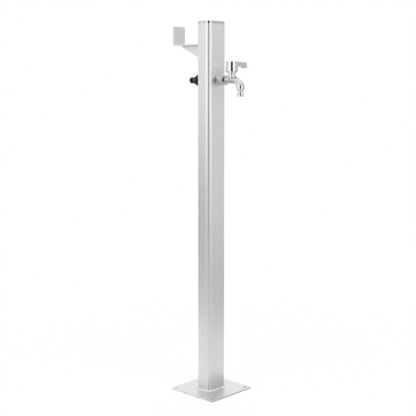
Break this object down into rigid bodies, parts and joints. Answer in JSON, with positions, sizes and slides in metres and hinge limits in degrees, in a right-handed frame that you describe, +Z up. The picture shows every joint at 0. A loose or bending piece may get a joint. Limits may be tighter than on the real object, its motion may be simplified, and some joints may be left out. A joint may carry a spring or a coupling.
{
  "type": "garden standpipe",
  "caption": "Garden standpipe: rectangular post on a square foot, with a lever tap and hose nozzle in front, a hose hook and a hose connector behind.",
  "frame": {"origin": "middle of the foot plate's underside, on the post's centre line", "axes": "+Z up along the post, +X the way the tap faces, +Y along the wide face of the post"},
  "size_m": [0.2257, 0.15, 0.95],
  "materials": {
    "post_metal": "fine vertical brushed grain, satin",
    "plate_metal": "brushed, satin",
    "weld_metal": "bright rippled weld",
    "cap_metal": "polished",
    "hook_metal": "satin",
    "chrome_tap": "polished",
    "brass_fitting": "machined",
    "black_plastic": "fine moulded satin",
    "black_rubber": "matt",
    "white_ptfe": "waxy",
    "screw_steel": "turned"
  },
  "bodies": {
    "standpipe": {"base_plate": "plate_metal", "post_tube": "post_metal", "base_weld": "weld_metal", "top_cap": "cap_metal", "hook_strip": "hook_metal", "hook_gusset": "hook_metal", "hook_welds": "weld_metal", "feed_nipple": "brass_fitting", "spacer_sleeve": "brass_fitting", "rear_washer": "black_rubber", "rear_lock_nut": "brass_fitting", "connector_gasket": "black_rubber", "connector_collar": "black_plastic", "connector_nipple": "black_plastic", "connector_o_ring": "black_rubber", "front_washer": "black_rubber", "front_collar": "chrome_tap", "union_nut": "chrome_tap", "union_washer": "black_rubber", "tap_body": "chrome_tap", "seat_retainer": "brass_fitting", "ball_seats": "white_ptfe", "thrust_washer": "white_ptfe", "gland_nut": "chrome_tap", "outlet_washer": "black_rubber", "outlet_nozzle": "chrome_tap"},
    "handle": {"valve_ball": "chrome_tap", "valve_stem": "brass_fitting", "stem_o_rings": "black_rubber", "tap_handle": "chrome_tap", "handle_screw": "screw_steel", "handle_cap": "chrome_tap"}
  },
  "joints": [
    {"name": "tap_turn", "type": "hinge", "parent": "standpipe", "child": "handle", "pos_m": [0.0695, 0, 0.8045], "axis": [0, 0, -1], "range_deg": [0, 90]}
  ]
}
